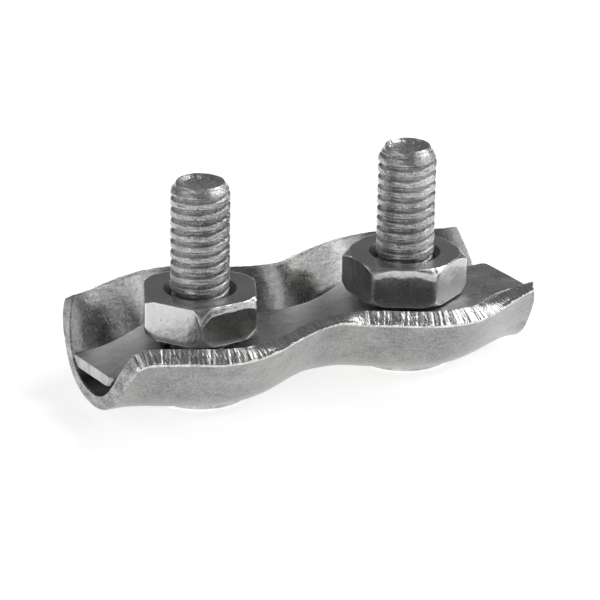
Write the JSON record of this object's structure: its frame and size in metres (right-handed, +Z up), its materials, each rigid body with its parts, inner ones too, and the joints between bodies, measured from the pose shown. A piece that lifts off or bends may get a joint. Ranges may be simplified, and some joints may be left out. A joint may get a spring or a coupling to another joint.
{
  "type": "wire rope clip",
  "caption": "Pressed steel double clip for wire rope: wavy trough, loose pressure plate, upright screws and thin hexagon nuts that press the plate onto the rope.",
  "frame": {"origin": "under the middle of the clip, on the plane that the two bolt heads rest on", "axes": "+X along the clip from the left bolt to the right bolt, +Y across it, +Z up along the bolts"},
  "size_m": [0.0297, 0.0164, 0.0144],
  "materials": {
    "zinc_trough": "satin zinc plate on pressed sheet, sheared rims left bright and striated",
    "zinc_plate": "satin zinc plate on a blanked sheet",
    "zinc_bolt": "zinc plate on a rolled thread",
    "zinc_nut": "bright zinc plate, glossy flats and rounded corners"
  },
  "bodies": {
    "base": {"base_channel": "zinc_trough", "bolt_left": "zinc_bolt", "bolt_right": "zinc_bolt"},
    "plate": {"pressure_plate": "zinc_plate"},
    "left_nut": {"nut_left": "zinc_nut"},
    "right_nut": {"nut_right": "zinc_nut"}
  },
  "joints": [
    {"name": "nut_left_spin", "type": "hinge", "parent": "plate", "child": "left_nut", "pos_m": [-0.00727, 0, 0.0057], "axis": [0, 0, 1], "range_deg": [0, 3600]},
    {"name": "nut_right_spin", "type": "hinge", "parent": "plate", "child": "right_nut", "pos_m": [0.00727, 0, 0.00585], "axis": [0, 0, 1], "range_deg": [0, 3600]},
    {"name": "clamp_travel", "type": "slide", "parent": "base", "child": "plate", "axis": [0, 0, 1], "range_m": [0, 0.007]}
  ],
  "couplings": [
    {"joint": "nut_left_spin", "follows": "clamp_travel", "rad_per_m": 8976},
    {"joint": "nut_right_spin", "follows": "clamp_travel", "rad_per_m": 8976}
  ]
}
